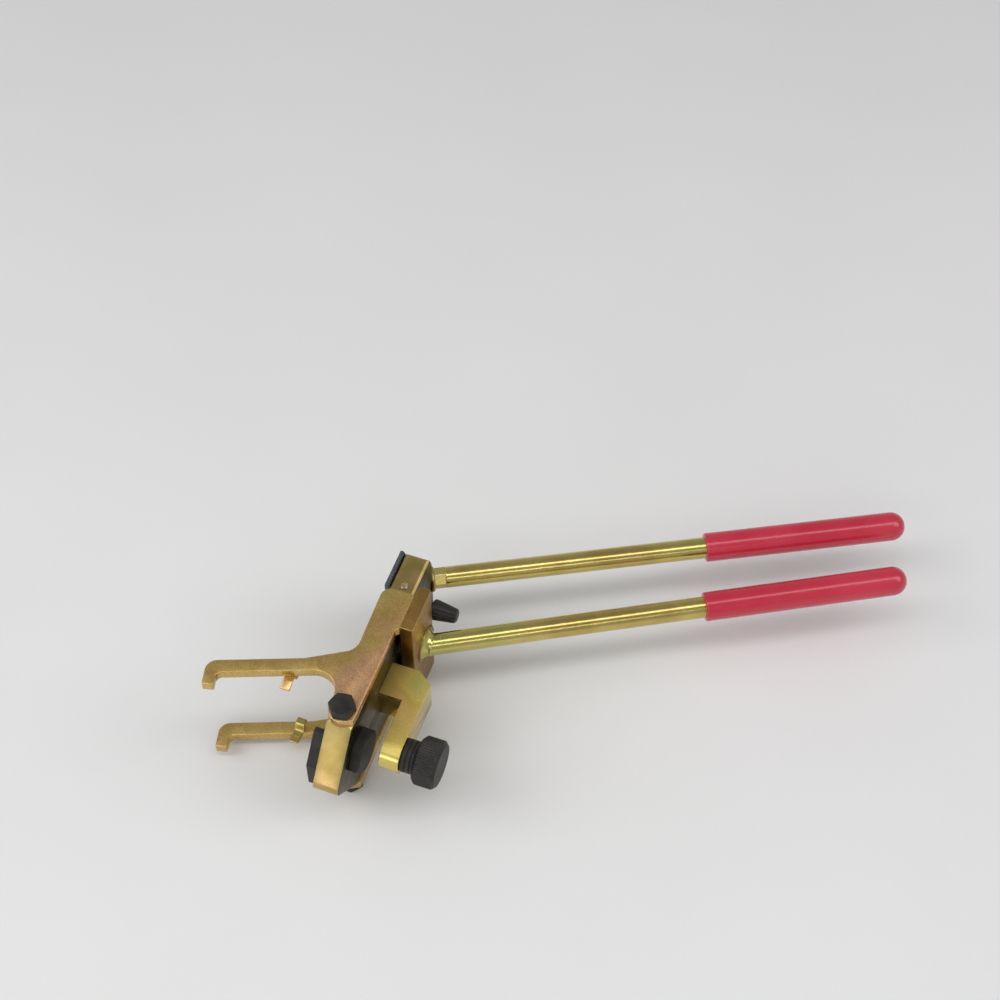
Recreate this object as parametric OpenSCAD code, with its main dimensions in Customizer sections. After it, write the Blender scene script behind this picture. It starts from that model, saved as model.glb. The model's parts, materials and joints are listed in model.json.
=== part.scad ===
// Valve spring compressor: a clamped base lever and a fork of two hooked arms that swings on it.
// The tool lies on its side. Z is the swing axis, the stem points to +Y and the handles to +X.
// The origin is the centre of the lower pivot bolt's outer face. Sizes are in millimetres.

/* [Base bar] */
// Height of the bar between the two arms
bar_h = 60.6; // [54:0.2:70]
// Thickness of the bar
bar_t = 14; // [12:0.5:18]
// Distance from the pivot to the blunt end of the bar
bar_far = 117.5; // [114:0.5:122]
// Distance from the pivot to the sharp point that the nose is rounded from
nose_reach = 31.5; // [27:0.5:36]
// Radius of the nose
nose_r = 6; // [3:0.5:8]
// Bevel on the long edges of the bar
bar_bevel = 1.2; // [0.5:0.1:2]

/* [Arms] */
// Thickness of each arm plate
plate_t = 6; // [4:0.5:9]
// Radius of the boss round the pivot
boss_r = 7.6; // [6.6:0.1:9]
// Half width of the stem on its right side
stem_right = 7.8; // [7:0.1:9]
// Half width of the stem on its left side
stem_left = 7; // [6:0.1:8.5]
// Length of the stem above the pivot
stem_len = 78.5; // [74:0.5:81]
// Height at which the arm's centre line crosses the stem
arm_root = 30; // [27:0.5:33]
// Downward slope of the arm in degrees
arm_drop = 21.5; // [17:0.5:25]
// Width of the arm
arm_w = 7.6; // [6:0.1:9]
// Distance from the pivot to the outside of the hook
arm_reach = 78.6; // [72:0.2:86]
// Width of the hook's finger
hook_w = 6.2; // [4.5:0.1:8]
// Length of the hook's finger below the arm's lower edge
hook_len = 7.5; // [5:0.5:11]
// Radius of the fillet inside the hook
hook_fillet = 3.6; // [1:0.1:4]
// Radius of the round throat between the arm and the boss
throat_r = 11.7; // [8:0.1:13]

/* [Pivot bolts] */
// Diameter of the bolt's shoulder in the arm
shoulder_d = 10; // [8:0.5:12]
// Thread diameter of the pivot bolts
thread_d = 8; // [6:1:8]
// Depth of the thread in the bar
thread_depth = 12; // [8:1:14]
// Size of the hex head across its flats
head_af = 13; // [12:0.5:15]
// Height of the hex head
head_h = 5.3; // [4:0.1:7]

/* [Cross plate] */
// Thickness of the cross plate
cross_t = 7.4; // [5:0.2:10]
// Near end of the cross plate above the pivot
cross_near = 56.6; // [55:0.2:58]
// Length of the cross plate
cross_len = 28; // [24:0.5:29]
// Space between the bar and the cross plate with the handles closed
cross_gap = 2.4; // [1.8:0.1:4]

/* [Handles] */
// Outer diameter of the handle tubes
tube_d = 12; // [10:0.5:14]
// Wall of the handle tubes
tube_wall = 1.5; // [1:0.1:2.5]
// Length of bare tube between its socket and the grip
tube_show = 148; // [120:1:180]
// Length of a grip
grip_len = 116; // [95:1:130]
// Diameter of a grip
grip_d = 16.4; // [15:0.1:19]
// Direction of the upper handle in degrees
upper_angle = 27.8; // [26:0.1:32]
// Direction of the lower handle in degrees
lower_angle = 29.2; // [26:0.1:30]
// Size of the upper socket's hexagon across its flats
socket_af = 10.4; // [9:0.2:12]
// Length of the upper socket's hexagon
socket_len = 8; // [6:0.5:12]
// Length of the lower socket's neck beyond the middle of its flare
lower_stub = 6.1; // [5:0.1:9]
// Length of the flare that meets the cross plate
flare_len = 5; // [4:0.5:6]
// Width that the flare gains at its foot, on each side
neck_flare = 4; // [2:0.5:5]

/* [Clamp] */
// Thickness of the bracket along the swing axis
bracket_h = 21; // [18:0.5:26]
// Far edge of the bracket above the pivot
bracket_far = 49.5; // [46:0.5:50]
// Width of the bracket's foot along the bar
foot_w = 20; // [16:0.5:22]
// Inside width of the bracket's throat
clamp_throat = 13.4; // [12:0.2:18]
// Thickness of the bracket's leg
leg_t = 11; // [9:0.5:14]
// Height of the clamp screw above the pivot
screw_y = 4.5; // [3:0.5:8]
// Diameter of the clamp screw
screw_d = 12; // [10:1:14]
// Diameter of the collar on the clamp screw
collar_d = 18.4; // [16:0.2:21]
// Length of the collar
collar_len = 7.6; // [5:0.2:10]
// Diameter of the knurled knob
knob_d = 27; // [24:0.5:32]
// Length of the knurled knob
knob_len = 13; // [10:0.5:18]
// Size of the anvil's hexagon across its flats
anvil_af = 23.5; // [20:0.5:26]
// Thickness of the anvil
anvil_t = 5.7; // [4:0.1:7]
// Height of the anvil's centre above the pivot
anvil_y = -1; // [-4:0.5:4]
// Thickness of the clamp foot on the tip of the screw
foot_t = 2.4; // [1.5:0.1:4]
// Diameter of the stem that holds the clamp foot in the screw
foot_stem_d = 5; // [4:0.5:6]

/* [Locating block] */
// Thickness of the locating block
block_t = 5.6; // [4:0.2:10]
// Back edge of the locating block below the pivot
block_back = 7.4; // [5:0.2:9]
// Front edge of the locating block below the pivot
block_front = 23.8; // [20:0.2:26]
// Height of the locating block
block_h = 48; // [40:0.5:52]

/* [Catch] */
// Height of the catch above the pivot
catch_y = 95; // [93:0.5:97]
// Diameter of the catch rod
rod_d = 6; // [5:0.5:7]
// Length of the toothed strip along the bar
strip_len = 24; // [19:0.5:25]
// Thickness of the toothed strip with its teeth
strip_t = 2.8; // [2:0.1:4]
// Number of teeth on the strip
strip_teeth = 15; // [8:1:20]
// Wide diameter of the ribbed knob
catch_d = 11.8; // [10:0.2:14]
// Narrow diameter of the ribbed knob
catch_tip_d = 8.4; // [7:0.2:9.5]
// Length of the ribbed knob
catch_len = 14.5; // [11:0.5:18]
// Space between the bar and the ribbed knob
catch_gap = 5.6; // [4.6:0.2:8]

/* [Clips] */
// Width of the bent clips
clip_w = 5.4; // [4:0.2:7]
// Thickness of the clips
clip_t = 1.4; // [1:0.1:2]
// Distance of the clips from the pivot along the arm
clip_x = 35.5; // [30:0.5:42]
// How far the clips stand in from the arm
clip_rise = 6; // [4:0.1:8]
// Reach of the clip's lip in front of its riser
clip_lip = 10; // [7:0.5:12]
// Length of the clip's flange behind its riser
clip_flange = 4; // [3:0.5:6]
// How far the end of the lip bends in
clip_dip = 1.4; // [0.5:0.1:2]

/* [Fits] */
// Space between faces that slide on each other
run_gap = 0.2; // [0.1:0.05:0.4]
// Radial clearance of round parts that fit in each other
fit = 0.05; // [0.02:0.01:0.1]
// Space between pieces that move apart
clear = 0.3; // [0.2:0.05:0.6]

/* [Hidden] */
$fn = 64;

gold = "#b39a3e";
black = "#2b2b2c";
red = "#c4203c";
grey = "#9aa0a4";

// Levels along the swing axis
lower_z = head_h + run_gap;
bar_z = lower_z + plate_t + run_gap;
upper_z = bar_z + bar_h + run_gap;
mid_z = bar_z + bar_h / 2;
bar_face = bar_t / 2;
eps = 0.01;

// Arm outline
stem_head = bar_face + cross_gap;
step_y = cross_near - 0.6;
step_rise = stem_head - stem_right;
boss_corner_y = -4.4;
stem_corner_r = 6;
gusset_x = -30.5;
gusset_slope = 31;
hook_lean = 13;
hook_corner_r = 6.5;
arm_half = arm_w / 2 / cos(arm_drop);
function arm_y(x) = arm_root + x * tan(arm_drop);

// Bracket and clamp screw
leg_x = bar_face + clamp_throat;
leg_out = leg_x + leg_t;
bracket_chamfer = [8.5, 6];
foot_near = bracket_far - foot_w;
bracket_screw_d = 5;
bracket_screw_y = [foot_near + foot_w * 0.22, bracket_far - foot_w * 0.22];
bracket_screw_in = 2 * bracket_screw_d;
foot_d = screw_d - 1.4;
foot_x = leg_x + clear;
foot_stem = 5;
screw_x = foot_x + foot_t + clear;
knob_x = leg_out + collar_len + clear;
knob_web = 5;
screw_end = knob_x + knob_len - 2;
anvil_peg_d = 8;
anvil_peg = 6;

// Locating block, flush with the slanted face of the nose
nose_y = -5.5;
nose_slope = bar_h / 2 / (nose_reach + nose_y);
function nose_half(y) = bar_h / 2 + (y - nose_y) * nose_slope;
block_screw_d = 4;
block_screw_y = -(block_back + block_front) / 2 + 2;
block_screw_z = 12;
block_screw_in = bar_t - 4;
block_soft = 0.8;

// Catch
tooth_h = strip_t / 3;
strip_x = -bar_face - clear - strip_t;
strip_z = bar_z + 0.4;
strip_h = bar_h - 0.8;
catch_x = bar_face + catch_gap;
catch_ribs = 12;
nut_af = 10;
nut_t = 3.2;
rod_in_knob = catch_len * 0.6;
spring_wire = 0.9;
spring_turns = 3;
spring_r = rod_d / 2 + 1.2;

// Handles: each starts at a root point and runs in its own direction
upper_root = [bar_face - 2.4, bar_far - 4];
cross_x = stem_head;
cross_out = cross_x + cross_t;
lower_root = [cross_out + flare_len / 2, cross_near + cross_len / 2 + 2.1];
tube_in = 12;
tube_bore = tube_d - 2 * tube_wall;
tube_tail = 8;
spigot_d = tube_bore - 2 * fit;
peg_d = 6;
peg_len = 7;

// Dowel
dowel = [0.5, 85.5];
dowel_d = 4;
dowel_len = 14;
dowel_proud = 0.6;

// Polygon whose corners [x, y, r] are rounded by their own radius
function unit(v) = v / norm(v);
function turn(a) = a > 180 ? a - 360 : a < -180 ? a + 360 : a;
function corner(a, p, b, steps = 10) =
    let (
        q = [p[0], p[1]],
        to_a = unit([a[0], a[1]] - q),
        to_b = unit([b[0], b[1]] - q),
        half = acos(to_a * to_b) / 2,
        run = p[2] / tan(half),
        centre = q + unit(to_a + to_b) * p[2] / sin(half),
        first = q + to_a * run - centre,
        last = q + to_b * run - centre,
        start = atan2(first[1], first[0]),
        sweep = turn(atan2(last[1], last[0]) - start)
    )
    [for (i = [0 : steps]) centre + p[2] * [cos(start + sweep * i / steps), sin(start + sweep * i / steps)]];
function soft(points) =
    let (n = len(points))
    [for (i = [0 : n - 1])
        each (points[i][2] > 0
            ? corner(points[(i + n - 1) % n], points[i], points[(i + 1) % n])
            : [[points[i][0], points[i][1]]])];

// Place children so that their Z runs along +X, from x at height y on the middle plane
module along_x(x, y, z = mid_z) {
    translate([x, y, z]) rotate([0, 90, 0]) children();
}

// Place children so that their Z runs along a handle
module along_handle(root, angle, start = 0) {
    translate([root[0], root[1], mid_z]) rotate([0, 0, angle]) rotate([0, 90, 0])
        translate([0, 0, start]) children();
}

// Extrude a drawing in Y and Z along X
module extrude_x(x, length) {
    translate([x, 0, 0]) rotate([90, 0, 90]) linear_extrude(length) children();
}

// Straight hexagonal bar along Z
module hexagon(af, h, turned = 0) {
    rotate([0, 0, turned]) cylinder(d = af / cos(30), h = h, $fn = 6);
}

// Hexagon with its outer corners turned down to a round face
module turned_hexagon(af, h, turned = 0) {
    face_r = af / 2 - 0.3;
    rim_r = af / cos(30) / 2 + 1;
    intersection() {
        hexagon(af, h, turned);
        rotate_extrude() polygon([
            [0, -1], [rim_r, -1], [rim_r, h - (rim_r - face_r) * tan(30)], [face_r, h], [0, h]
        ]);
    }
}

// Round bar with a chamfer at both ends
module chamfered_bar(d, h, c) {
    rotate_extrude()
        polygon([[0, 0], [d / 2 - c, 0], [d / 2, c], [d / 2, h - c], [d / 2 - c, h], [0, h]]);
}

// Room for the head of a countersunk screw
module countersink(d) {
    cylinder(d1 = 2 * d + 2 * fit, d2 = d + 2 * fit, h = d / 2);
}

module bar_side() {
    half = bar_h / 2;
    tip_half = 3;
    end_slant = 11.5;
    translate([0, mid_z])
        polygon(soft([
            [nose_y, half, 1], [-nose_reach, 0, nose_r], [nose_y, -half, 1],
            [bar_far - end_slant, -half, 2], [bar_far, -tip_half, 4],
            [bar_far, tip_half, 4], [bar_far - end_slant, half, 2]
        ]));
}

module bar_section() {
    low = bar_z;
    top = bar_z + bar_h;
    polygon([
        [-bar_face + bar_bevel, low], [bar_face - bar_bevel, low], [bar_face, low + bar_bevel],
        [bar_face, top - bar_bevel], [bar_face - bar_bevel, top], [-bar_face + bar_bevel, top],
        [-bar_face, top - bar_bevel], [-bar_face, low + bar_bevel]
    ]);
}

module base_bar() {
    color(gold) difference() {
        intersection() {
            extrude_x(-bar_face, bar_t) bar_side();
            translate([0, bar_far + bar_t, 0]) rotate([90, 0, 0])
                linear_extrude(bar_far + nose_reach + 2 * bar_t) bar_section();
        }
        // Seat and peg hole of the upper handle
        along_handle(upper_root, upper_angle)
            translate([-bar_h, -1.5 * bar_t, 0]) cube([2 * bar_h, 3 * bar_t, 2 * bar_t]);
        along_handle(upper_root, upper_angle, -peg_len - fit) cylinder(d = peg_d + 2 * fit, h = peg_len + 1);
        // Threads of the pivot bolts
        for (z = [bar_z - 1, bar_z + bar_h - thread_depth - 1])
            translate([0, 0, z]) cylinder(d = thread_d + 2 * fit, h = thread_depth + 2);
        // Catch rod
        along_x(-bar_face - 1, catch_y) cylinder(d = rod_d + 2 * fit, h = bar_t + 2);
        // Bracket screws with countersunk heads
        for (y = bracket_screw_y) along_x(-bar_face - 1, y) {
            cylinder(d = bracket_screw_d + 2 * fit, h = bar_t + 2);
            translate([0, 0, 1 - eps]) countersink(bracket_screw_d);
        }
        // Block screws
        for (s = [-1, 1]) along_x(-bar_face - 1, block_screw_y, mid_z + s * block_screw_z)
            cylinder(d = block_screw_d + 2 * fit, h = block_screw_in + 1 + clear);
        // Peg of the anvil
        along_x(bar_face - anvil_peg - clear, anvil_y) cylinder(d = anvil_peg_d + 2 * fit, h = anvil_peg + 1);
        translate([dowel[0], dowel[1], bar_z + bar_h - dowel_len])
            cylinder(d = dowel_d + 2 * fit, h = dowel_len + 1);
    }
}

module bracket_plan() {
    polygon([
        [bar_face, foot_near], [leg_x, foot_near], [leg_x, screw_y - bracket_h / 2 - 1],
        [leg_out, screw_y - bracket_h / 2 - 1], [leg_out, bracket_far - bracket_chamfer[1]],
        [leg_out - bracket_chamfer[0], bracket_far], [bar_face, bracket_far]
    ]);
}

module l_bracket() {
    color(gold) difference() {
        intersection() {
            translate([0, 0, mid_z - bracket_h / 2]) linear_extrude(bracket_h) bracket_plan();
            extrude_x(bar_face - 1, leg_out) {
                translate([screw_y, mid_z]) circle(d = bracket_h);
                translate([screw_y, mid_z - bracket_h / 2]) square([bracket_far, bracket_h]);
            }
        }
        along_x(leg_x - 1, screw_y) cylinder(d = screw_d + 2 * fit, h = leg_t + 2);
        for (y = bracket_screw_y) along_x(bar_face - 1, y)
            cylinder(d = bracket_screw_d + 2 * fit, h = bracket_screw_in + 1 + fit);
    }
}

module bracket_screws() {
    color(black) for (y = bracket_screw_y) along_x(-bar_face, y) {
        cylinder(d = bracket_screw_d, h = bar_t + bracket_screw_in);
        difference() {
            cylinder(d1 = 2 * bracket_screw_d, d2 = bracket_screw_d, h = bracket_screw_d / 2);
            translate([0, 0, -eps]) hexagon(bracket_screw_d * 0.66, bracket_screw_d / 3);
        }
    }
}

module locating_block() {
    top = block_h / 2;
    top_y = nose_y - (bar_h / 2 - top) / nose_slope;
    nib = nose_half(-block_front);
    color(black) difference() {
        extrude_x(-bar_face - block_t, block_t) translate([0, mid_z])
            polygon(soft([
                [-block_back, top, block_soft], [top_y, top, block_soft], [-block_front, nib, block_soft],
                [-block_front, -nib, block_soft], [top_y, -top, block_soft], [-block_back, -top, block_soft]
            ]));
        for (s = [-1, 1]) along_x(-bar_face - block_t - 1, block_screw_y, mid_z + s * block_screw_z) {
            cylinder(d = block_screw_d + 2 * fit, h = block_t + 2);
            translate([0, 0, 1 - eps]) countersink(block_screw_d);
        }
    }
}

module block_screws() {
    color(black) for (s = [-1, 1]) along_x(-bar_face - block_t, block_screw_y, mid_z + s * block_screw_z) {
        cylinder(d = block_screw_d, h = block_t + block_screw_in);
        difference() {
            cylinder(d1 = 2 * block_screw_d, d2 = block_screw_d, h = block_screw_d / 2);
            translate([0, 0, -eps]) hexagon(block_screw_d * 0.6, block_screw_d / 3);
        }
    }
}

// Hex shoulder bolt with its seat at z = 0 and its thread below
module pivot_bolt() {
    color(black) {
        turned_hexagon(head_af, head_h, 10);
        shoulder = plate_t + 2 * run_gap;
        translate([0, 0, -shoulder]) cylinder(d = shoulder_d, h = shoulder);
        translate([0, 0, -shoulder - thread_depth + 1]) cylinder(d = thread_d, h = thread_depth);
    }
}

module upper_pivot_bolt() {
    translate([0, 0, upper_z + plate_t + run_gap]) pivot_bolt();
}

module lower_pivot_bolt() {
    translate([0, 0, head_h]) rotate([180, 0, 0]) pivot_bolt();
}

module dowel_pin() {
    color(grey) translate([dowel[0], dowel[1], bar_z + bar_h - dowel_len + fit])
        chamfered_bar(dowel_d, dowel_len - fit + dowel_proud, 0.4);
}

module upper_socket() {
    color(gold) along_handle(upper_root, upper_angle) {
        hexagon(socket_af, socket_len, 15);
        translate([0, 0, -peg_len]) cylinder(d = peg_d, h = peg_len + 1);
        translate([0, 0, socket_len - 1]) cylinder(d = spigot_d, h = tube_in + 1);
    }
}

// Tube with its open start at z = 0, closed over by the grip at its far end
module handle_tube() {
    color(gold) difference() {
        cylinder(d = tube_d, h = tube_show + grip_len - tube_tail);
        translate([0, 0, -1]) cylinder(d = tube_bore, h = tube_show + grip_len - tube_tail + 2);
    }
}

module grip() {
    taper = 0.4;
    round_r = grip_d / 2 - taper;
    lip = 1.2;
    color(red) difference() {
        rotate_extrude() polygon(concat(
            [[0, 0], [grip_d / 2 - lip, 0]],
            [for (a = [15 : 15 : 90]) [grip_d / 2 - lip * (1 - sin(a)), lip * (1 - cos(a))]],
            [for (a = [0 : 9 : 90])
                [round_r * cos(a) + taper * (1 - a / 90), grip_len - round_r * (1 - sin(a))]]
        ));
        translate([0, 0, -1]) cylinder(d = tube_d + 2 * fit, h = grip_len - tube_tail + 1 + fit);
    }
}

module upper_tube() {
    along_handle(upper_root, upper_angle, socket_len) handle_tube();
}

module upper_grip() {
    along_handle(upper_root, upper_angle, socket_len + tube_show) grip();
}

// Coil swept along its own helix
function coil_ring(t, length) =
    let (a = 360 * spring_turns * t, z = spring_wire / 2 + (length - spring_wire) * t)
    [for (k = [0 : 7])
        let (r = spring_r + spring_wire / 2 * cos(45 * k))
        [r * cos(a), r * sin(a), z + spring_wire / 2 * sin(45 * k)]];

module latch_spring() {
    steps = 20 * spring_turns;
    length = catch_gap - 0.2;
    rings = [for (i = [0 : steps]) each coil_ring(i / steps, length)];
    sides = [for (i = [0 : steps - 1]) for (k = [0 : 7])
        each [
            [8 * i + k, 8 * i + (k + 1) % 8, 8 * i + 8 + (k + 1) % 8],
            [8 * i + k, 8 * i + 8 + (k + 1) % 8, 8 * i + 8 + k]
        ]];
    caps = [[for (k = [7 : -1 : 0]) k], [for (k = [0 : 7]) 8 * steps + k]];
    color(grey) along_x(bar_face + 0.1, catch_y)
        polyhedron(points = rings, faces = concat(sides, caps), convexity = 6);
}

// Corners of the arm from the stem's lower right, counter-clockwise
function arm_corners() =
    let (
        near = [stem_right, boss_corner_y],
        tangent = atan2(near[1], near[0]) - acos(boss_r / norm(near)),
        boss_low = -boss_r * (1 + cos(tangent)) / -sin(tangent),
        gusset_y = arm_y(gusset_x) + arm_half,
        hook_out = -arm_reach,
        hook_top = arm_y(hook_out) + arm_half,
        finger = [sin(hook_lean), -cos(hook_lean)],
        across = [cos(hook_lean), sin(hook_lean)] * hook_w,
        inner_x = hook_out + hook_w / cos(hook_lean) + 1.2,
        inner = [inner_x, arm_y(inner_x) - arm_half],
        tip_in = inner + finger * hook_len,
        tip_out = tip_in - across
    )
    [
        [near[0], near[1], 1],
        [stem_right, step_y - step_rise, 1],
        [stem_head, step_y, 0.6],
        [stem_head, stem_len, 0.8],
        [-stem_left - 1.2, stem_len, stem_corner_r],
        [-stem_left, gusset_y + (-stem_left - gusset_x) * tan(gusset_slope), 9],
        [gusset_x, gusset_y, 4],
        [hook_out, hook_top, hook_corner_r],
        [tip_out[0], tip_out[1], 0.5],
        [tip_in[0], tip_in[1], 0.5],
        [inner[0], inner[1], hook_fillet],
        [-boss_r, arm_y(-boss_r) - arm_half, throat_r],
        [-boss_r, boss_low, boss_r]
    ];

module arm_plate(z) {
    color(gold) difference() {
        translate([0, 0, z]) linear_extrude(plate_t) polygon(soft(arm_corners()));
        translate([0, 0, z - 1]) cylinder(d = shoulder_d + 2 * fit, h = plate_t + 2);
    }
}

module upper_arm() {
    arm_plate(upper_z);
}

module lower_arm() {
    arm_plate(lower_z);
}

module cross_plate() {
    round_r = 3;
    low = lower_z;
    tall = upper_z + plate_t - low;
    color(gold) difference() {
        translate([0, 0, low]) linear_extrude(tall) polygon(soft([
            [cross_x, cross_near, 0], [cross_out, cross_near, 0.8],
            [cross_out, cross_near + cross_len, 1.5], [cross_x, cross_near + cross_len, round_r]
        ]));
        along_x(cross_x - 1, lower_root[1]) cylinder(d = peg_d + 2 * fit, h = cross_t + 2);
    }
}

// Round flare on the cross plate with a slanted neck for the tube
module lower_socket() {
    rings = 12;
    color(gold) {
        along_x(cross_out, lower_root[1]) {
            rotate_extrude() polygon(concat(
                [[0, flare_len], [0, 0]],
                [for (i = [0 : rings]) [tube_d / 2 + neck_flare * pow(1 - i / rings, 2), flare_len * i / rings]]
            ));
            translate([0, 0, -cross_t]) cylinder(d = peg_d, h = cross_t + 1);
        }
        intersection() {
            along_handle(lower_root, lower_angle, -flare_len) cylinder(d = tube_d, h = flare_len + lower_stub);
            translate([cross_out + clear, 0, 0]) cube([2 * bar_far, 2 * bar_far, 2 * bar_h]);
        }
        along_handle(lower_root, lower_angle) cylinder(d = spigot_d, h = lower_stub + tube_in);
    }
}

module lower_tube() {
    along_handle(lower_root, lower_angle, lower_stub) handle_tube();
}

module lower_grip() {
    along_handle(lower_root, lower_angle, lower_stub + tube_show) grip();
}

// Side view of a clip from its riser's foot: a lip that bends in, a riser and a flange that points back
module clip_side() {
    t = clip_t;
    lean = 1.2;
    bend = clip_lip / 2;
    polygon(soft([
        [-clip_lip, -clip_dip, 0.3], [-bend, 0, 3], [0, 0, 0.4],
        [lean, -clip_rise + t, 0.4], [clip_flange, -clip_rise + t, 0.3], [clip_flange, -clip_rise, 0.3],
        [lean - t, -clip_rise, 1], [-t, -t, 1], [-bend, -t, 3], [-clip_lip, -clip_dip - t, 0.3]
    ]));
}

module clip(z, up) {
    riser_y = arm_y(-clip_x) - arm_half / 3;
    color(gold) translate([-clip_x - clip_w / 2, riser_y, z]) mirror([0, 0, up ? 0 : 1])
        rotate([90, 0, 90]) linear_extrude(clip_w) clip_side();
}

module upper_clip() {
    clip(upper_z, true);
}

module lower_clip() {
    clip(lower_z + plate_t, false);
}

// Fixed jaw of the clamp: a hexagon with turned corners on the bar's right face
module anvil_pad() {
    color(black) along_x(bar_face, anvil_y) {
        turned_hexagon(anvil_af, anvil_t, 30);
        translate([0, 0, -anvil_peg]) cylinder(d = anvil_peg_d, h = anvil_peg + 1);
    }
}

// Swivel foot in the tip of the screw, drawn back into the leg
module clamp_foot() {
    color(black) along_x(foot_x, screw_y) {
        chamfered_bar(foot_d, foot_t, 0.5);
        translate([0, 0, foot_t - 1]) cylinder(d = foot_stem_d, h = foot_stem + 1);
    }
}

module clamp_screw() {
    color(black) along_x(screw_x, screw_y) difference() {
        cylinder(d = screw_d, h = screw_end - screw_x);
        translate([0, 0, -1]) cylinder(d = foot_stem_d + 2 * fit, h = foot_stem + 1);
    }
}

// Threaded collar on the outer face of the leg, with two grooves
module clamp_collar() {
    groove = 0.8;
    color(black) along_x(leg_out, screw_y) difference() {
        chamfered_bar(collar_d, collar_len, 0.5);
        translate([0, 0, -1]) cylinder(d = screw_d + 2 * fit, h = collar_len + 2);
        for (z = [collar_len * 0.4, collar_len * 0.75]) translate([0, 0, z - groove / 2]) difference() {
            cylinder(d = collar_d + 2, h = groove);
            translate([0, 0, -1]) cylinder(d = collar_d - 2 * groove, h = groove + 2);
        }
    }
}

// Knob that passes over the collar as the screw goes in
module knurled_knob() {
    knurls = 56;
    depth = 0.5;
    chamfer = 1.8;
    outer = knob_d / 2;
    color(black) along_x(knob_x, screw_y) difference() {
        intersection() {
            chamfered_bar(knob_d, knob_len, chamfer);
            linear_extrude(knob_len)
                polygon([for (i = [0 : 2 * knurls - 1])
                    (outer - (i % 2) * depth) * [cos(180 * i / knurls), sin(180 * i / knurls)]]);
        }
        translate([0, 0, -1]) cylinder(d = collar_d + 2 * clear, h = knob_len - knob_web + 1);
        translate([0, 0, -1]) cylinder(d = screw_d + 2 * fit, h = screw_end - knob_x + 1);
    }
}

module latch_knob() {
    rib = 0.5;
    lean = atan((catch_d - catch_tip_d) / 2 / (catch_len - 3));
    color(black) along_x(catch_x, catch_y) difference() {
        rotate_extrude() polygon([
            [0, 0], [catch_d / 2 - 0.4, 0], [catch_d / 2, 0.4], [catch_d / 2, 2],
            [catch_tip_d / 2, catch_len - 1], [catch_tip_d / 2 - 1, catch_len], [0, catch_len]
        ]);
        for (i = [0 : catch_ribs - 1]) rotate([0, 0, 360 * i / catch_ribs])
            translate([catch_d / 2, 0, 2]) rotate([0, -lean, 0])
                cylinder(r = rib, h = catch_len, $fn = 16);
        translate([0, 0, -1]) cylinder(d = rod_d + 2 * fit, h = rod_in_knob + 1 + fit);
    }
}

module latch_rod() {
    tail = nut_t + 1.4;
    color(grey) along_x(strip_x - tail, catch_y)
        cylinder(d = rod_d, h = tail + strip_t + clear + bar_t + catch_gap + rod_in_knob);
}

module toothed_strip() {
    pitch = strip_len / strip_teeth;
    near = catch_y - strip_len / 2;
    root = strip_x + strip_t - tooth_h;
    color(grey) difference() {
        translate([0, 0, strip_z]) linear_extrude(strip_h) polygon(concat(
            [[strip_x, near + strip_len], [strip_x, near]],
            [for (i = [0 : strip_teeth - 1])
                each [[root, near + pitch * (i + 0.1)], [strip_x + strip_t, near + pitch * (i + 0.5)]]],
            [[root, near + strip_len]]
        ));
        along_x(strip_x - 1, catch_y) cylinder(d = rod_d + 2 * fit, h = strip_t + 2);
    }
}

module strip_nut() {
    color(grey) along_x(strip_x - nut_t, catch_y) difference() {
        hexagon(nut_af, nut_t);
        translate([0, 0, -1]) cylinder(d = rod_d + 2 * fit, h = nut_t + 2);
    }
}

base_bar();
l_bracket();
bracket_screws();
locating_block();
block_screws();
upper_pivot_bolt();
lower_pivot_bolt();
dowel_pin();
upper_socket();
upper_tube();
upper_grip();
latch_spring();
upper_arm();
lower_arm();
cross_plate();
lower_socket();
lower_tube();
lower_grip();
upper_clip();
lower_clip();
anvil_pad();
clamp_collar();
clamp_foot();
clamp_screw();
knurled_knob();
latch_knob();
latch_rod();
toothed_strip();
strip_nut();
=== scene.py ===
import json
import math

import bpy
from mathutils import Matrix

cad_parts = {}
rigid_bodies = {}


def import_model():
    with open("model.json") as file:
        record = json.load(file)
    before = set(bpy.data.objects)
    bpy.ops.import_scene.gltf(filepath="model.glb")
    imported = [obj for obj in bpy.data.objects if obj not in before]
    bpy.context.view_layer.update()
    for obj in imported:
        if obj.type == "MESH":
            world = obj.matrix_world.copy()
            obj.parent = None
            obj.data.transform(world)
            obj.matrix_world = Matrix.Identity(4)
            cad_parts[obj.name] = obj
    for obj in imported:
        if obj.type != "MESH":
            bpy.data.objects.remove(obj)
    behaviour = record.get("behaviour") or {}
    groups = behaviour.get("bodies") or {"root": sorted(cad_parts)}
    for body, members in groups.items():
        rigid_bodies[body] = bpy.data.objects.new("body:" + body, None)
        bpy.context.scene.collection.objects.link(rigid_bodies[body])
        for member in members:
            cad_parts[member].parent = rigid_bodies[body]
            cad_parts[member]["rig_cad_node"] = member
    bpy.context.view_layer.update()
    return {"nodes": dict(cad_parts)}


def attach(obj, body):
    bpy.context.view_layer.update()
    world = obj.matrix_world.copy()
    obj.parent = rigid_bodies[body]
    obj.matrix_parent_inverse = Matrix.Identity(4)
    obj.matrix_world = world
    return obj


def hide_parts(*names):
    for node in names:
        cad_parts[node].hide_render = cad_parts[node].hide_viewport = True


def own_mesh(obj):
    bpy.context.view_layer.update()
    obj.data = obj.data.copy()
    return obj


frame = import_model()
nodes = frame["nodes"]
bpy.ops.object.select_all(action="DESELECT")
print("frame loaded with", len(nodes), "pieces")

mm = 0.001


# Camera at the photo's place: a long lens that looks down on the tool
cameraView = {
    "place": (0.26316, -0.48443, 1.02635),
    "tiltDeg": 35.6,
    "headingDeg": 20.0,
    "lens": 75.6,
    "sensor": 36.0,
}


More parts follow.
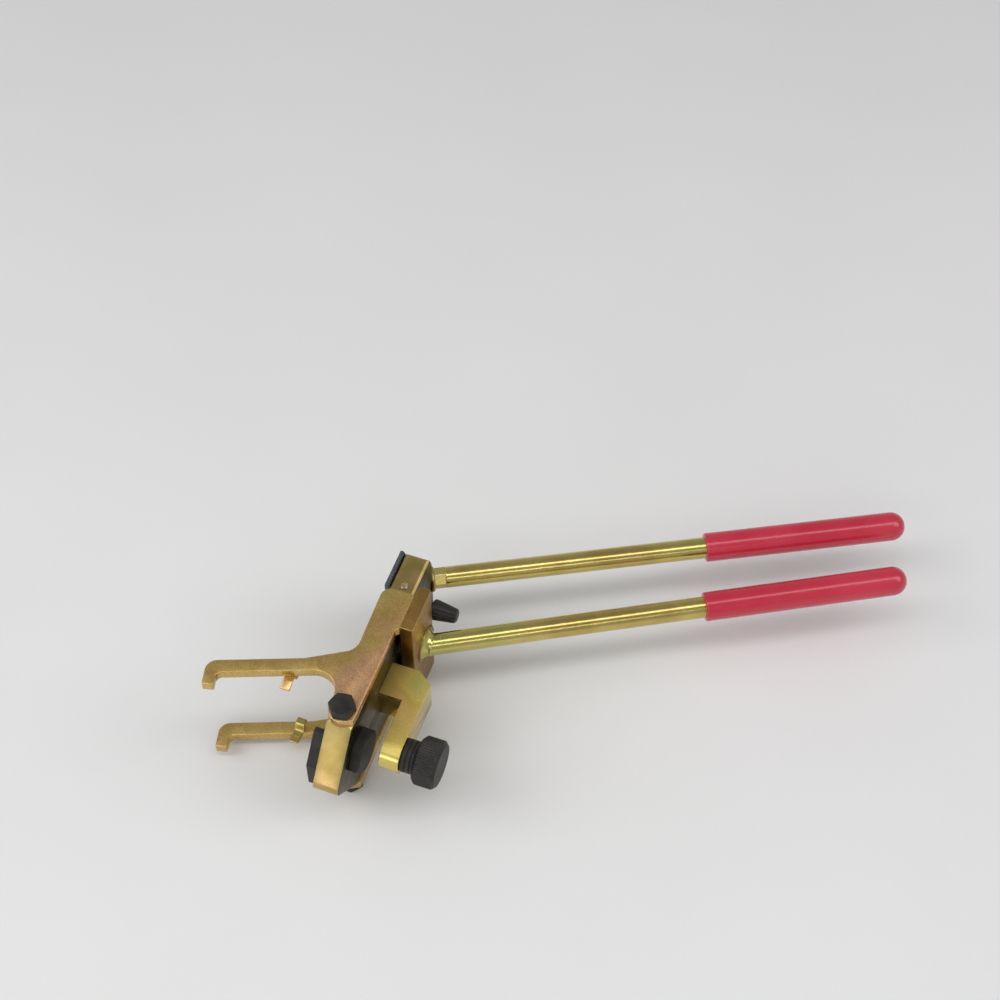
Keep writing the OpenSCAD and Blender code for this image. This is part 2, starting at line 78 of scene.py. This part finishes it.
def placeCamera(view):
    turn = (math.radians(view["tiltDeg"]), 0, math.radians(view["headingDeg"]))
    bpy.ops.object.camera_add(location=view["place"], rotation=turn)
    camera = bpy.context.object
    camera.data.lens = view["lens"]
    camera.data.sensor_width = view["sensor"]
    bpy.context.scene.camera = camera


# Soft boxes, each aimed at the middle of the tool
aimPoint = (0.06, 0.07, 0.04)
softBoxes = [
    {"name": "keyBox", "place": (-1.1, -0.5, 1.2), "size": (0.9, 0.9), "watts": 8},
    {"name": "fillBox", "place": (1.2, 0.3, 1.1), "size": (0.8, 0.8), "watts": 5},
    {"name": "frontBox", "place": (-0.3, -1.4, 0.35), "size": (0.8, 0.5), "watts": 2.0},
    {"name": "topStrip", "place": (0.15, -0.12, 1.55), "size": (2.0, 0.30), "watts": 6},
    {"name": "nearStrip", "place": (0.15, -1.05, 1.15), "size": (1.8, 0.16), "watts": 3},
]
skyLight = {"low": (0.74, 0.74, 0.75), "high": (0.46, 0.46, 0.465), "strength": 0.68}


def addSoftBox(box):
    bpy.ops.object.light_add(type="AREA", location=box["place"])
    lamp = bpy.context.object
    lamp.name = box["name"]
    lamp.data.shape = "RECTANGLE"
    lamp.data.size, lamp.data.size_y = box["size"]
    lamp.data.energy = box["watts"]
    away = [a - b for a, b in zip(box["place"], aimPoint)]
    flat = math.hypot(away[0], away[1])
    lamp.rotation_euler = (math.atan2(flat, away[2]), 0, math.atan2(away[0], -away[1]))


def addSky(sky):
    world = bpy.data.worlds.new("softSky")
    bpy.context.scene.world = world
    world.use_nodes = True
    tree = world.node_tree
    back = tree.nodes["Background"]
    place = tree.nodes.new("ShaderNodeTexCoord")
    split = tree.nodes.new("ShaderNodeSeparateXYZ")
    ramp = tree.nodes.new("ShaderNodeValToRGB")
    ramp.color_ramp.elements[0].position = 0.05
    ramp.color_ramp.elements[0].color = (*sky["low"], 1)
    ramp.color_ramp.elements[1].position = 0.9
    ramp.color_ramp.elements[1].color = (*sky["high"], 1)
    tree.links.new(place.outputs["Generated"], split.inputs[0])
    tree.links.new(split.outputs["Z"], ramp.inputs["Fac"])
    tree.links.new(ramp.outputs["Color"], back.inputs["Color"])
    back.inputs["Strength"].default_value = sky["strength"]


# Material kit: every finish reads Object coordinates, in metres
class Finish:
    def __init__(self, name):
        self.material = bpy.data.materials.new(name)
        self.material.use_nodes = True
        self.tree = self.material.node_tree
        self.shader = self.tree.nodes["Principled BSDF"]
        self.coords = self.tree.nodes.new("ShaderNodeTexCoord")

    def link(self, a, b):
        self.tree.links.new(a, b)

    def noise(self, scale, detail=3.0, stretch=(1, 1, 1), roughness=0.5):
        turn = self.tree.nodes.new("ShaderNodeMapping")
        turn.inputs["Scale"].default_value = stretch
        node = self.tree.nodes.new("ShaderNodeTexNoise")
        node.inputs["Scale"].default_value = scale
        node.inputs["Detail"].default_value = detail
        node.inputs["Roughness"].default_value = roughness
        self.link(self.coords.outputs["Object"], turn.inputs["Vector"])
        self.link(turn.outputs["Vector"], node.inputs["Vector"])
        return node.outputs["Fac"]

    def ramp(self, value, stops):
        node = self.tree.nodes.new("ShaderNodeValToRGB")
        band = node.color_ramp
        while len(band.elements) < len(stops):
            band.elements.new(0.5)
        for element, (place, colour) in zip(band.elements, stops):
            element.position = place
            element.color = (*colour, 1)
        self.link(value, node.inputs["Fac"])
        return node.outputs["Color"]

    def spread(self, value, low, high, toLow, toHigh):
        node = self.tree.nodes.new("ShaderNodeMapRange")
        for name, number in (("From Min", low), ("From Max", high), ("To Min", toLow), ("To Max", toHigh)):
            node.inputs[name].default_value = number
        self.link(value, node.inputs["Value"])
        return node.outputs["Result"]

    def blend(self, share, first, second):
        node = self.tree.nodes.new("ShaderNodeMix")
        node.data_type = "RGBA"
        colours = [s for s in node.inputs if s.type == "RGBA"]
        for socket, value in zip(colours, (first, second)):
            if isinstance(value, tuple):
                socket.default_value = (*value, 1)
            else:
                self.link(value, socket)
        self.link(share, node.inputs["Factor"])
        return [s for s in node.outputs if s.type == "RGBA"][0]

    def edges(self, radius):
        bevel = self.tree.nodes.new("ShaderNodeBevel")
        bevel.inputs["Radius"].default_value = radius
        bevel.samples = 6
        plain = self.tree.nodes.new("ShaderNodeNewGeometry")
        dot = self.tree.nodes.new("ShaderNodeVectorMath")
        dot.operation = "DOT_PRODUCT"
        self.link(bevel.outputs["Normal"], dot.inputs[0])
        self.link(plain.outputs["Normal"], dot.inputs[1])
        return bevel.outputs["Normal"], self.spread(dot.outputs["Value"], 0.99, 0.8, 0.0, 1.0)

    def facing(self, axis, low, high, toLow, toHigh):
        split = self.tree.nodes.new("ShaderNodeSeparateXYZ")
        self.link(self.coords.outputs["Normal"], split.inputs[0])
        return self.spread(split.outputs[axis], low, high, toLow, toHigh)

    def scaled(self, colour, factor):
        node = self.tree.nodes.new("ShaderNodeVectorMath")
        node.operation = "SCALE"
        self.link(colour, node.inputs[0])
        self.link(factor, node.inputs["Scale"])
        return node.outputs["Vector"]

    def times(self, first, second):
        node = self.tree.nodes.new("ShaderNodeMath")
        node.operation = "MULTIPLY"
        self.link(first, node.inputs[0])
        self.link(second, node.inputs[1])
        return node.outputs["Value"]

    def bump(self, height, distance, strength, normal=None):
        node = self.tree.nodes.new("ShaderNodeBump")
        node.inputs["Distance"].default_value = distance
        node.inputs["Strength"].default_value = strength
        self.link(height, node.inputs["Height"])
        if normal is not None:
            self.link(normal, node.inputs["Normal"])
        return node.outputs["Normal"]

    def wear(self, colour, rough, normal=None):
        self.link(colour, self.shader.inputs["Base Color"])
        self.link(rough, self.shader.inputs["Roughness"])
        if normal is not None:
            self.link(normal, self.shader.inputs["Normal"])
        return self.material


# Yellow zinc plate: olive gold that drifts to pink and green, over a faint grain, with pale edges of rubbed
# plating and painted highlight; the bar also carries painted shade on its sides and painted highlight on its
# bevels
goldLooks = {
    "goldPlate": {"olive": (0.60, 0.41, 0.13), "gold": (0.68, 0.48, 0.17), "pink": (0.73, 0.43, 0.23),
                  "green": (0.59, 0.50, 0.15), "patch": 20.0, "rough": (0.36, 0.48), "grain": (1, 1, 1),
                  "speck": (0.80, 1.15), "gloss": 0.65},
    "goldBracket": {"olive": (0.62, 0.475, 0.13), "gold": (0.72, 0.56, 0.165), "pink": (0.72, 0.50, 0.19),
                    "green": (0.62, 0.55, 0.165), "patch": 26.0, "rough": (0.54, 0.62), "grain": (1, 1, 1),
                    "speck": (0.90, 1.06), "gloss": 0.29},
    # goldBar: its bevel factor is a painted highlight on the bar's bevels, and its side factor is painted
    # shade on the bar's side faces
    "goldBar": {"olive": (0.44, 0.32, 0.10), "gold": (0.56, 0.43, 0.16), "pink": (0.57, 0.39, 0.17),
                "green": (0.46, 0.44, 0.15), "patch": 30.0, "rough": (0.26, 0.36), "grain": (1, 0.1, 1),
                "speck": (0.94, 1.04), "bevel": 1.8, "side": 0.08},
    "goldTube": {"olive": (0.54, 0.42, 0.13), "gold": (0.66, 0.53, 0.18), "pink": (0.64, 0.47, 0.19),
                 "green": (0.56, 0.51, 0.16), "patch": 16.0, "rough": (0.20, 0.24), "grain": (0.12, 0.12, 1),
                 "speck": (0.96, 1.03)},
    "goldCross": {"olive": (0.36, 0.20, 0.055), "gold": (0.44, 0.26, 0.08), "pink": (0.44, 0.22, 0.08),
                  "green": (0.37, 0.25, 0.07), "patch": 30.0, "rough": (0.30, 0.42), "grain": (1, 1, 0.15),
                  "speck": (0.85, 1.10)},
    "goldClip": {"olive": (0.54, 0.42, 0.14), "gold": (0.66, 0.51, 0.18), "pink": (0.64, 0.40, 0.20),
                 "green": (0.48, 0.54, 0.19), "patch": 90.0, "rough": (0.22, 0.32), "grain": (1, 1, 1),
                 "speck": (0.92, 1.06)},
}
goldCoat = {
    "stops": (0.35, 0.46, 0.55, 0.66),
    "grainScale": 1500.0, "grainDepth": 0.02,
    # bevel and side facings: masks for the bar's painted highlight on its bevels and painted shade on its
    # sides
    "bevelHighlightFacing": (0.35, 0.65), "sideFacing": (0.80, 0.97), "topFacing": (0.6, 0.95),
    # pale edge colour: rubbed plating with a painted highlight along the edges
    "edgeWidth": 0.5, "edgeWearAndHighlight": (0.93, 0.80, 0.47),
    "roughScale": 160.0,
}
weldLook = {"olive": (0.34, 0.22, 0.07), "gold": (0.46, 0.32, 0.11), "pink": (0.44, 0.25, 0.12),
            "green": (0.36, 0.30, 0.10), "patch": 120.0, "rough": (0.30, 0.45), "grain": (1, 1, 1),
            "speck": (0.85, 1.10)}


def goldFinish(name, look):
    finish = Finish(name)
    patches = finish.noise(look["patch"], 2.5, roughness=0.55)
    tones = [look[tone] for tone in ("pink", "olive", "gold", "green")]
    colour = finish.ramp(patches, list(zip(goldCoat["stops"], tones)))
    grain = finish.noise(goldCoat["grainScale"], 2.0, look["grain"])
    plateAndPaintedLight = finish.scaled(colour, finish.spread(grain, 0.35, 0.65, *look["speck"]))
    if "side" in look:
        # painted highlight: faces turned halfway towards X, the bar's bevels, are brightened
        plateAndPaintedLight = finish.scaled(plateAndPaintedLight, finish.facing("X", *goldCoat["bevelHighlightFacing"], 1.0, look["bevel"]))
        # painted shade: faces of the bar that point along X are darkened almost to black
        plateAndPaintedLight = finish.scaled(plateAndPaintedLight, finish.facing("X", *goldCoat["sideFacing"], 1.0, look["side"]))
    softNormal, edge = finish.edges(goldCoat["edgeWidth"] * mm)
    # edges get a pale gold that is rubbed plating and a painted highlight
    edgeTinted = finish.blend(edge, plateAndPaintedLight, goldCoat["edgeWearAndHighlight"])
    rough = finish.spread(finish.noise(goldCoat["roughScale"], 4.0), 0.3, 0.7, *look["rough"])
    if "gloss" in look:
        rough = finish.times(rough, finish.facing("Z", *goldCoat["topFacing"], look["gloss"], 1.0))
    normal = finish.bump(grain, goldCoat["grainDepth"] * mm, 0.2, softNormal)
    finish.shader.inputs["Metallic"].default_value = 1.0
    return finish.wear(edgeTinted, rough, normal)


# Black oxide: matt, a little brown, with lighter edges
blackLook = {
    "deep": (0.016, 0.015, 0.014), "dusty": (0.042, 0.038, 0.033), "cloudScale": 90.0,
    "edge": (0.10, 0.092, 0.08), "edgeWidth": 0.5, "scuffScale": 600.0,
    "grainScale": 2200.0, "grainDepth": 0.03, "rough": (0.46, 0.62),
}


def blackFinish(name, look):
    finish = Finish(name)
    cloud = finish.noise(look["cloudScale"], 4.0)
    colour = finish.ramp(cloud, [(0.35, look["deep"]), (0.68, look["dusty"])])
    softNormal, edge = finish.edges(look["edgeWidth"] * mm)
    scuffs = finish.spread(finish.noise(look["scuffScale"], 3.0), 0.4, 0.65, 0.0, 1.0)
    edgeTinted = finish.blend(finish.times(edge, scuffs), colour, look["edge"])
    grain = finish.noise(look["grainScale"], 2.0)
    rough = finish.spread(cloud, 0.3, 0.7, *look["rough"])
    finish.shader.inputs["Metallic"].default_value = 0.25
    finish.shader.inputs["Specular IOR Level"].default_value = 0.4
    return finish.wear(edgeTinted, rough, finish.bump(grain, look["grainDepth"] * mm, 0.35, softNormal))


# Dipped grips: crimson, soft gloss, faint orange peel
gripLook = {
    "main": (0.50, 0.016, 0.042), "light": (0.55, 0.026, 0.056), "patch": 35.0,
    "peelScale": 260.0, "peelDepth": 0.05, "roughScale": 70.0, "rough": (0.22, 0.26),
}


def gripFinish(name, look):
    finish = Finish(name)
    colour = finish.ramp(finish.noise(look["patch"], 3.0), [(0.35, look["main"]), (0.68, look["light"])])
    peel = finish.noise(look["peelScale"], 2.0)
    rough = finish.spread(finish.noise(look["roughScale"], 3.0), 0.3, 0.7, *look["rough"])
    finish.shader.inputs["Coat Weight"].default_value = 0.3
    finish.shader.inputs["Coat Roughness"].default_value = 0.14
    return finish.wear(colour, rough, finish.bump(peel, look["peelDepth"] * mm, 0.08))


# Moulded plastic of the catch knob
plasticLook = {
    "deep": (0.012, 0.011, 0.010), "light": (0.030, 0.028, 0.025), "patch": 240.0,
    "edge": (0.05, 0.047, 0.043), "edgeWidth": 0.3,
    "grainScale": 1800.0, "grainDepth": 0.03, "rough": (0.44, 0.58),
}


def plasticFinish(name, look):
    finish = Finish(name)
    colour = finish.ramp(finish.noise(look["patch"], 3.0), [(0.35, look["deep"]), (0.7, look["light"])])
    softNormal, edge = finish.edges(look["edgeWidth"] * mm)
    edgeTinted = finish.blend(edge, colour, look["edge"])
    grain = finish.noise(look["grainScale"], 2.0)
    rough = finish.spread(grain, 0.3, 0.7, *look["rough"])
    return finish.wear(edgeTinted, rough, finish.bump(grain, look["grainDepth"] * mm, 0.4, softNormal))


# Bare ground steel, and the warmer steel of the dowel
steelLook = {
    "dark": (0.20, 0.22, 0.25), "light": (0.44, 0.47, 0.50), "streakScale": 500.0, "streak": (1, 1, 0.08),
    "edge": (0.62, 0.64, 0.66), "edgeWidth": 0.25, "streakDepth": 0.02, "rough": (0.28, 0.44),
}
pinLook = {**steelLook, "dark": (0.42, 0.33, 0.24), "light": (0.72, 0.60, 0.46)}


def steelFinish(name, look):
    finish = Finish(name)
    streaks = finish.noise(look["streakScale"], 3.0, look["streak"])
    colour = finish.ramp(streaks, [(0.3, look["dark"]), (0.7, look["light"])])
    softNormal, edge = finish.edges(look["edgeWidth"] * mm)
    edgeTinted = finish.blend(edge, colour, look["edge"])
    rough = finish.spread(streaks, 0.3, 0.7, *look["rough"])
    finish.shader.inputs["Metallic"].default_value = 0.95
    return finish.wear(edgeTinted, rough, finish.bump(streaks, look["streakDepth"] * mm, 0.3, softNormal))


# Gritted steel of the toothed strip: light and dark specks
gritLook = {
    "dark": (0.085, 0.090, 0.100), "mid": (0.14, 0.15, 0.17), "light": (0.28, 0.295, 0.32),
    "gritScale": 1100.0, "gritDepth": 0.12, "rough": (0.55, 0.35),
}


def gritFinish(name, look):
    finish = Finish(name)
    grit = finish.noise(look["gritScale"], 2.0, roughness=0.7)
    colour = finish.ramp(grit, [(0.38, look["dark"]), (0.52, look["mid"]), (0.66, look["light"])])
    rough = finish.spread(grit, 0.3, 0.7, *look["rough"])
    finish.shader.inputs["Metallic"].default_value = 0.8
    return finish.wear(colour, rough, finish.bump(grit, look["gritDepth"] * mm, 0.4))


# Pale floor, a hair below the tool
floorLook = {
    "dull": (0.78, 0.78, 0.775), "pale": (0.80, 0.80, 0.80), "cloudScale": 6.0,
    "roughScale": 40.0, "rough": (0.55, 0.62), "width": 30, "drop": 0.2,
}


def floorFinish(name, look):
    finish = Finish(name)
    colour = finish.ramp(finish.noise(look["cloudScale"], 2.0), [(0.3, look["dull"]), (0.7, look["pale"])])
    rough = finish.spread(finish.noise(look["roughScale"], 2.0), 0.3, 0.7, *look["rough"])
    return finish.wear(colour, rough)


print("finishes ready")


def addFloor(look):
    bpy.ops.mesh.primitive_plane_add(size=look["width"], location=(0, 0, -look["drop"] * mm))
    floor = bpy.context.object
    floor.name = "paleFloor"
    floor.data.materials.append(floorFinish("paleFloor", look))


placeCamera(cameraView)
for box in softBoxes:
    addSoftBox(box)
addSky(skyLight)
addFloor(floorLook)
bpy.context.scene.view_settings.view_transform = "Standard"
print("camera, light and floor set")

finishes = {name: goldFinish(name, look) for name, look in goldLooks.items()}
finishes["blackSteel"] = blackFinish("blackSteel", blackLook)
finishes["redGrip"] = gripFinish("redGrip", gripLook)
finishes["blackPlastic"] = plasticFinish("blackPlastic", plasticLook)
finishes["bareSteel"] = steelFinish("bareSteel", steelLook)
finishes["pinSteel"] = steelFinish("pinSteel", pinLook)
finishes["gritSteel"] = gritFinish("gritSteel", gritLook)
finishes["weldSteel"] = goldFinish("weldSteel", weldLook)

pieceFinish = {
    "goldTube": ["upper_socket", "upper_tube", "lower_socket", "lower_tube"],
    "blackSteel": ["upper_pivot_bolt", "lower_pivot_bolt", "anvil_pad", "clamp_collar", "clamp_foot",
                   "clamp_screw", "knurled_knob"],
    "redGrip": ["upper_grip", "lower_grip"],
    "blackPlastic": ["latch_knob"],
    "bareSteel": ["latch_rod", "strip_nut"],
    "pinSteel": ["dowel_pin"],
    "gritSteel": ["toothed_strip"],
}
for name, pieces in pieceFinish.items():
    for piece in pieces:
        nodes[piece].data.materials.clear()
        nodes[piece].data.materials.append(finishes[name])
print("finishes on", sum(len(pieces) for pieces in pieceFinish.values()), "pieces")


def pick(piece):
    bpy.ops.object.select_all(action="DESELECT")
    piece.select_set(True)
    bpy.context.view_layer.objects.active = piece


def dress(piece, name, finish, body):
    piece.name = name
    piece.data.materials.clear()
    piece.data.materials.append(finishes[finish])
    bpy.ops.object.transform_apply(location=True, rotation=True, scale=True)
    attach(piece, body)


def mergedCopy(node):
    pick(nodes[node])
    bpy.ops.object.duplicate()
    piece = bpy.context.object
    del piece["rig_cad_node"]
    bpy.ops.object.mode_set(mode="EDIT")
    bpy.ops.mesh.select_all(action="SELECT")
    bpy.ops.mesh.remove_doubles(threshold=0.002 * mm)
    bpy.ops.object.mode_set(mode="OBJECT")
    return piece


# Plates with broken edges: a merged copy of the solid, bevelled all round
brokenEdge = {"segments": 3, "sharpDeg": 40, "smoothDeg": 32, "flatDeg": 0.6}
softPlates = [
    {"node": "upper_arm", "name": "upperArmPlate", "bevel": 0.55,
     "finish": "goldPlate", "slot": "gold_plate", "body": "arms"},
    {"node": "lower_arm", "name": "lowerArmPlate", "bevel": 0.55,
     "finish": "goldPlate", "slot": "gold_plate", "body": "arms"},
    {"node": "cross_plate", "name": "crossPlate", "bevel": 0.6,
     "finish": "goldCross", "slot": "gold_plate", "body": "arms"},
    {"node": "base_bar", "name": "baseBar", "bevel": 0.35,
     "finish": "goldBar", "slot": "gold_plate", "body": "base"},
    {"node": "l_bracket", "name": "clampBracket", "bevel": 0.7,
     "finish": "goldBracket", "slot": "gold_plate", "body": "base"},
    {"node": "locating_block", "name": "locatingBlock", "bevel": 0.4,
     "finish": "blackSteel", "slot": "black_steel", "body": "base"},
    {"node": "upper_clip", "name": "upperClip", "bevel": 0.25,
     "finish": "goldClip", "slot": "gold_plate", "body": "arms"},
    {"node": "lower_clip", "name": "lowerClip", "bevel": 0.25,
     "finish": "goldClip", "slot": "gold_plate", "body": "arms"},
]


def addSoftPlate(plate):
    piece = mergedCopy(plate["node"])
    bpy.ops.object.mode_set(mode="EDIT")
    bpy.ops.mesh.select_all(action="SELECT")
    bpy.ops.mesh.dissolve_limited(angle_limit=math.radians(brokenEdge["flatDeg"]))
    bpy.ops.object.mode_set(mode="OBJECT")
    bpy.ops.object.modifier_add(type="BEVEL")
    rim = piece.modifiers[-1]
    rim.width = plate["bevel"] * mm
    rim.segments = brokenEdge["segments"]
    rim.limit_method = "ANGLE"
    rim.angle_limit = math.radians(brokenEdge["sharpDeg"])
    bpy.ops.object.modifier_apply(modifier=rim.name)
    bpy.ops.object.shade_smooth_by_angle(angle=math.radians(brokenEdge["smoothDeg"]))
    dress(piece, plate["name"], plate["finish"], plate["body"])
    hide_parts(plate["node"])


for plate in softPlates:
    addSoftPlate(plate)
print("plates with broken edges:", len(softPlates))


# Hex sockets in the screw heads, as shares of the head's radius
socketCut = {"flats": 0.62, "deep": 0.4, "smoothDeg": 32}
socketScrews = {"bracket_screws": "bracketScrews", "block_screws": "blockScrews"}


def cutSocket(piece, spot, radius, deep):
    bpy.ops.object.select_all(action="DESELECT")
    bpy.ops.mesh.primitive_cylinder_add(vertices=6, radius=radius, depth=2 * deep, location=spot,
                                        rotation=(0, math.pi / 2, 0))
    cutter = bpy.context.object
    pick(piece)
    bpy.ops.object.modifier_add(type="BOOLEAN")
    cut = piece.modifiers[-1]
    cut.operation = "DIFFERENCE"
    cut.object = cutter
    bpy.ops.object.modifier_apply(modifier=cut.name)
    pick(cutter)
    bpy.ops.object.delete()


def addSocketScrews(node, name):
    piece = mergedCopy(node)
    low = [min(corner[axis] for corner in piece.bound_box) for axis in range(3)]
    high = [max(corner[axis] for corner in piece.bound_box) for axis in range(3)]
    head = min(high[1] - low[1], high[2] - low[2]) / 2  # the two heads fill the ends of the node's box
    flatRadius = socketCut["flats"] * head / math.sqrt(3)
    for y, z in ((low[1] + head, low[2] + head), (high[1] - head, high[2] - head)):
        cutSocket(piece, (low[0], y, z), flatRadius, socketCut["deep"] * head)
    pick(piece)
    bpy.ops.object.shade_smooth_by_angle(angle=math.radians(socketCut["smoothDeg"]))
    dress(piece, name, "blackSteel", "base")
    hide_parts(node)


for node, name in socketScrews.items():
    addSocketScrews(node, name)
print("screws with hex sockets:", len(socketScrews))


# Coil of the catch: a round wire wound between the bar and the knob
coil = {"wire": 0.45, "radius": 4.2, "turns": 3, "start": 7.1, "end": 12.5, "y": 95.0, "z": 42.0,
        "wireSides": 16, "turnSteps": 48, "keep": 0.54}


def addCoil(spec):
    run = spec["end"] - spec["start"] - 2 * spec["wire"]
    bpy.ops.mesh.primitive_circle_add(vertices=spec["wireSides"], radius=spec["wire"] * mm, fill_type="NGON",
                                      location=(spec["radius"] * mm, 0, 0), rotation=(math.pi / 2, 0, 0))
    piece = bpy.context.object
    bpy.ops.object.transform_apply(location=True, rotation=True, scale=True)
    bpy.ops.object.modifier_add(type="SCREW")
    wind = piece.modifiers[-1]
    wind.angle = 2 * math.pi * spec["turns"]
    wind.screw_offset = run * mm
    wind.steps = spec["turnSteps"] * spec["turns"]
    wind.render_steps = wind.steps
    wind.use_merge_vertices = True
    bpy.ops.object.modifier_apply(modifier=wind.name)
    bpy.ops.object.mode_set(mode="EDIT")
    bpy.ops.mesh.select_all(action="SELECT")
    bpy.ops.mesh.fill_holes(sides=0)
    bpy.ops.mesh.normals_make_consistent(inside=False)
    bpy.ops.object.mode_set(mode="OBJECT")
    bpy.ops.object.shade_smooth()
    piece.rotation_euler = (0, math.pi / 2, 0)
    piece.location = ((spec["start"] + spec["wire"]) * mm, spec["y"] * mm, spec["z"] * mm)
    dress(piece, "catchCoil", "bareSteel", "base")
    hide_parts("latch_spring")
    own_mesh(piece)


addCoil(coil)
print("coil wound")


# Weld beads round the feet of the two handles
beadLumps = {"size": 2.6, "height": 0.7, "level": 0.6}
weldBeads = [
    {"name": "upperWeld", "place": (4.95, 113.69, 42.0), "heading": 27.8,
     "ring": 6.1, "bead": 1.35, "body": "base"},
    {"name": "lowerWeld", "place": (16.95, 72.7, 42.0), "heading": 0.0,
     "ring": 9.6, "bead": 1.0, "body": "arms"},
]


def addWeld(weld):
    bpy.ops.mesh.primitive_torus_add(major_radius=weld["ring"] * mm, minor_radius=weld["bead"] * mm,
                                     major_segments=96, minor_segments=16)
    piece = bpy.context.object
    cloud = bpy.data.textures.new(weld["name"] + "Lumps", "CLOUDS")
    cloud.noise_scale = beadLumps["size"] * mm
    bpy.ops.object.modifier_add(type="DISPLACE")
    lumps = piece.modifiers[-1]
    lumps.texture = cloud
    lumps.strength = beadLumps["height"] * mm
    lumps.mid_level = beadLumps["level"]
    bpy.ops.object.modifier_apply(modifier=lumps.name)
    bpy.ops.object.shade_smooth()
    piece.rotation_euler = (0, math.pi / 2, math.radians(weld["heading"]))
    piece.location = [c * mm for c in weld["place"]]
    dress(piece, weld["name"], "weldSteel", weld["body"])


for weld in weldBeads:
    addWeld(weld)
print("weld beads:", len(weldBeads))
